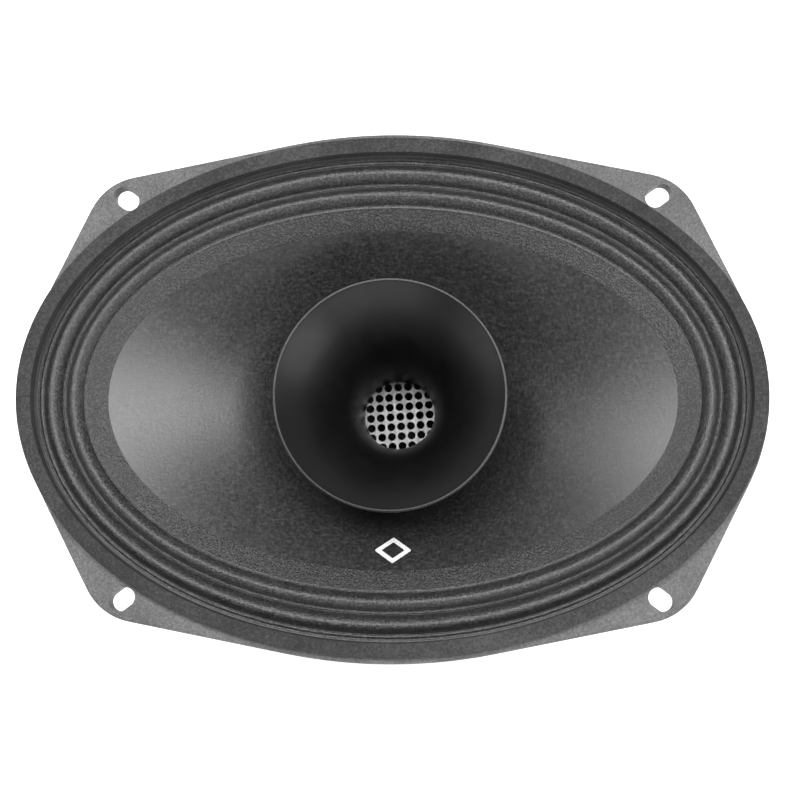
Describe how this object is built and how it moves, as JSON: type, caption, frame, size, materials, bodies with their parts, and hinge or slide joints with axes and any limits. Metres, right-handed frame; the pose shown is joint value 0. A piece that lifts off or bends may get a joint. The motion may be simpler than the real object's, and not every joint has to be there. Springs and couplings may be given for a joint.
{
  "type": "coaxial car speaker",
  "caption": "Oval coaxial car speaker: cast basket with slotted flange, paper cone on a cloth surround, central horn and a rear compression driver.",
  "frame": {"origin": "centre of the mounting flange's rear face, on the speaker's axis", "axes": "+X along the oval's length, +Y across it towards the terminals, +Z forward along the axis, towards the listener"},
  "size_m": [0.2364, 0.167, 0.122],
  "materials": {
    "powder_coat": "satin textured",
    "gasket_board": "matt",
    "cone_paper": "matt fibrous",
    "surround_cloth": "treated weave",
    "spider_cloth": "resin-dipped weave",
    "horn_plastic": "satin",
    "screen_metal": "satin",
    "plated_steel": "zinc plated",
    "black_steel": "black oxide",
    "ferrite": "matt",
    "boot_rubber": "matt",
    "foam": "open cell",
    "board_fibre": "phenolic sheet",
    "terminal_brass": "tin plated",
    "capacitor_sleeve": "sleeve",
    "wire_red": "insulation",
    "wire_black": "insulation",
    "copper_braid": "braided",
    "coil_former": "polyimide film",
    "coil_winding": "enamelled",
    "titanium": "titanium foil",
    "driver_plastic": "moulded"
  },
  "bodies": {
    "frame": {"basket": "powder_coat", "gasket_upper": "gasket_board", "gasket_lower": "gasket_board", "basket_screws": "black_steel", "top_plate": "plated_steel", "magnet": "ferrite", "yoke": "plated_steel", "magnet_boot": "boot_rubber", "horn": "horn_plastic", "horn_screws": "black_steel", "throat_screen": "screen_metal", "dust_seal": "foam", "terminal_board": "board_fibre", "terminal_positive": "terminal_brass", "terminal_negative": "terminal_brass", "terminal_rivets": "terminal_brass", "crossover_capacitor": "capacitor_sleeve", "capacitor_lead": "wire_red", "hookup_wire_positive": "wire_red", "hookup_wire_negative": "wire_black", "driver_pole_plate": "plated_steel", "driver_magnet": "ferrite", "driver_top_plate": "plated_steel", "phase_plug": "driver_plastic", "diaphragm_ring": "driver_plastic", "driver_terminals": "terminal_brass", "damping_pad": "foam", "driver_cover": "driver_plastic", "driver_mount_screws": "black_steel", "driver_cover_screws": "black_steel"},
    "cone_assembly": {"cone": "cone_paper", "surround": "surround_cloth", "spider": "spider_cloth", "voice_coil_former": "coil_former", "voice_coil_winding": "coil_winding", "lead_positive": "copper_braid", "lead_negative": "copper_braid"},
    "diaphragm_assembly": {"diaphragm": "titanium", "driver_coil_former": "coil_former", "driver_coil_winding": "coil_winding", "diaphragm_suspension": "coil_former"}
  },
  "joints": [
    {"name": "cone_travel", "type": "slide", "parent": "frame", "child": "cone_assembly", "axis": [0, 0, 1], "range_m": [-0.004, 0.004], "stiffness_N_per_m": 2500, "deforming": ["surround", "spider", "lead_positive", "lead_negative"]},
    {"name": "diaphragm_travel", "type": "slide", "parent": "frame", "child": "diaphragm_assembly", "axis": [0, 0, 1], "range_m": [-0.0003, 0.0003], "stiffness_N_per_m": 8000, "deforming": ["diaphragm_suspension"]}
  ]
}
